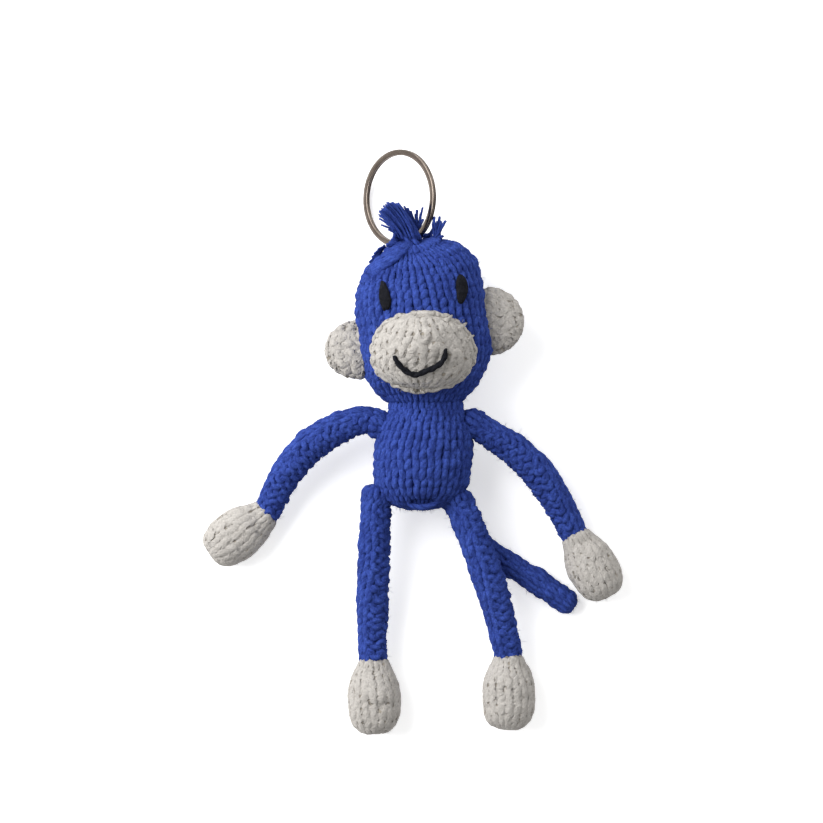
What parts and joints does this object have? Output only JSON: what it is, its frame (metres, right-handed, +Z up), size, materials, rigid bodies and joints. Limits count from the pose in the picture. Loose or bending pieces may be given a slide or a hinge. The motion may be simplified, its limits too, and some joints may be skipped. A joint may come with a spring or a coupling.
{
  "type": "stuffed toy key ring",
  "caption": "Hand-knitted stuffed monkey lying on its back, with sewn-on arms, legs and tail, hung by a yarn loop on a steel split ring for keys.",
  "frame": {"origin": "on the table under the middle of the body, on the flat of the body's back", "axes": "+Z up from the table through the belly, +Y towards the head and the ring, +X to the toy's own left"},
  "size_m": [0.1291, 0.1792, 0.042],
  "materials": {
    "blue_knit": "matte cotton yarn, knitted",
    "cream_knit": "matte cream cotton yarn, knitted",
    "black_yarn": "matte black embroidery yarn",
    "stuffing": "polyester fibre filling",
    "ring_steel": "bright nickel-plated spring steel"
  },
  "bodies": {
    "torso": {"torso_knit": "blue_knit", "torso_stuffing": "stuffing"},
    "neck": {"neck_gather": "blue_knit"},
    "head": {"head_knit": "blue_knit", "head_stuffing": "stuffing", "muzzle_knit": "cream_knit", "muzzle_stuffing": "stuffing", "mouth_yarn": "black_yarn", "right_eye": "black_yarn", "left_eye": "black_yarn", "right_ear": "cream_knit", "left_ear": "cream_knit", "hair_tuft": "blue_knit"},
    "ring_loop": {"ring_loop": "blue_knit"},
    "split_ring": {"split_ring": "ring_steel"},
    "tail": {"tail": "blue_knit"},
    "right_shoulder": {"right_shoulder_seam": "blue_knit"},
    "right_arm": {"right_arm": "blue_knit"},
    "right_hand": {"right_hand": "cream_knit", "right_hand_stuffing": "stuffing"},
    "left_shoulder": {"left_shoulder_seam": "blue_knit"},
    "left_arm": {"left_arm": "blue_knit"},
    "left_hand": {"left_hand": "cream_knit", "left_hand_stuffing": "stuffing"},
    "right_hip": {"right_hip_seam": "blue_knit"},
    "right_leg": {"right_leg": "blue_knit"},
    "right_foot": {"right_foot": "cream_knit", "right_foot_stuffing": "stuffing"},
    "left_hip": {"left_hip_seam": "blue_knit"},
    "left_leg": {"left_leg": "blue_knit"},
    "left_foot": {"left_foot": "cream_knit", "left_foot_stuffing": "stuffing"}
  },
  "joints": [
    {"name": "neck_nod", "type": "hinge", "parent": "torso", "child": "neck", "pos_m": [0.0006, 0.0164, 0.0133], "axis": [1, 0, 0], "range_deg": [-14, 20]},
    {"name": "neck_turn", "type": "hinge", "parent": "neck", "child": "head", "pos_m": [0.0006, 0.0164, 0.0133], "axis": [0, 1, 0], "range_deg": [-35, 35]},
    {"name": "ring_swing", "type": "hinge", "parent": "head", "child": "ring_loop", "pos_m": [-0.0072, 0.06574, 0.01097], "axis": [0.7242, 0, 0.6896], "range_deg": [-60, 20]},
    {"name": "ring_spin", "type": "hinge", "parent": "ring_loop", "child": "split_ring", "pos_m": [-0.0072, 0.07984, 0.01097], "axis": [-0.6896, 0, 0.7242], "continuous": true},
    {"name": "right_shoulder_raise", "type": "hinge", "parent": "torso", "child": "right_shoulder", "pos_m": [-0.01361, 0.01094, 0.0125], "axis": [0, 0, 1], "range_deg": [-32, 32]},
    {"name": "right_shoulder_lift", "type": "hinge", "parent": "right_shoulder", "child": "right_arm", "pos_m": [-0.01361, 0.01094, 0.0125], "axis": [-0.6258, 0.78, 0], "range_deg": [0, 75]},
    {"name": "right_wrist", "type": "hinge", "parent": "right_arm", "child": "right_hand", "pos_m": [-0.04801, -0.01666, 0.0057], "axis": [0, 0, 1], "range_deg": [-25, 25]},
    {"name": "left_shoulder_raise", "type": "hinge", "parent": "torso", "child": "left_shoulder", "pos_m": [0.01491, 0.01097, 0.0125], "axis": [0, 0, 1], "range_deg": [0, 32]},
    {"name": "left_shoulder_lift", "type": "hinge", "parent": "left_shoulder", "child": "left_arm", "pos_m": [0.01491, 0.01097, 0.0125], "axis": [-0.7364, -0.6766, 0], "range_deg": [0, 75]},
    {"name": "left_wrist", "type": "hinge", "parent": "left_arm", "child": "left_hand", "pos_m": [0.04661, -0.02353, 0.0057], "axis": [0, 0, 1], "range_deg": [0, 25]},
    {"name": "right_hip_spread", "type": "hinge", "parent": "torso", "child": "right_hip", "pos_m": [-0.01394, -0.01154, 0.0125], "axis": [0, 0, 1], "range_deg": [-35, 10]},
    {"name": "right_hip_lift", "type": "hinge", "parent": "right_hip", "child": "right_leg", "pos_m": [-0.01394, -0.01154, 0.0125], "axis": [-0.9996, 0.0281, 0], "range_deg": [0, 75]},
    {"name": "right_ankle", "type": "hinge", "parent": "right_leg", "child": "right_foot", "pos_m": [-0.01534, -0.06134, 0.0067], "axis": [-0.9997, -0.0262, 0], "range_deg": [0, 30]},
    {"name": "left_hip_spread", "type": "hinge", "parent": "torso", "child": "left_hip", "pos_m": [0.01112, -0.0133, 0.0125], "axis": [0, 0, 1], "range_deg": [-12, 10]},
    {"name": "left_hip_lift", "type": "hinge", "parent": "left_hip", "child": "left_leg", "pos_m": [0.01112, -0.0133, 0.0125], "axis": [-0.9509, -0.3095, 0], "range_deg": [0, 75]},
    {"name": "left_ankle", "type": "hinge", "parent": "left_leg", "child": "left_foot", "pos_m": [0.02632, -0.06, 0.0067], "axis": [-1, 0, 0], "range_deg": [0, 30]},
    {"name": "tail_lift", "type": "hinge", "parent": "torso", "child": "tail", "pos_m": [0.0065, -0.0105, 0.0031], "axis": [0.6662, 0.7458, 0], "range_deg": [0, 60]}
  ]
}
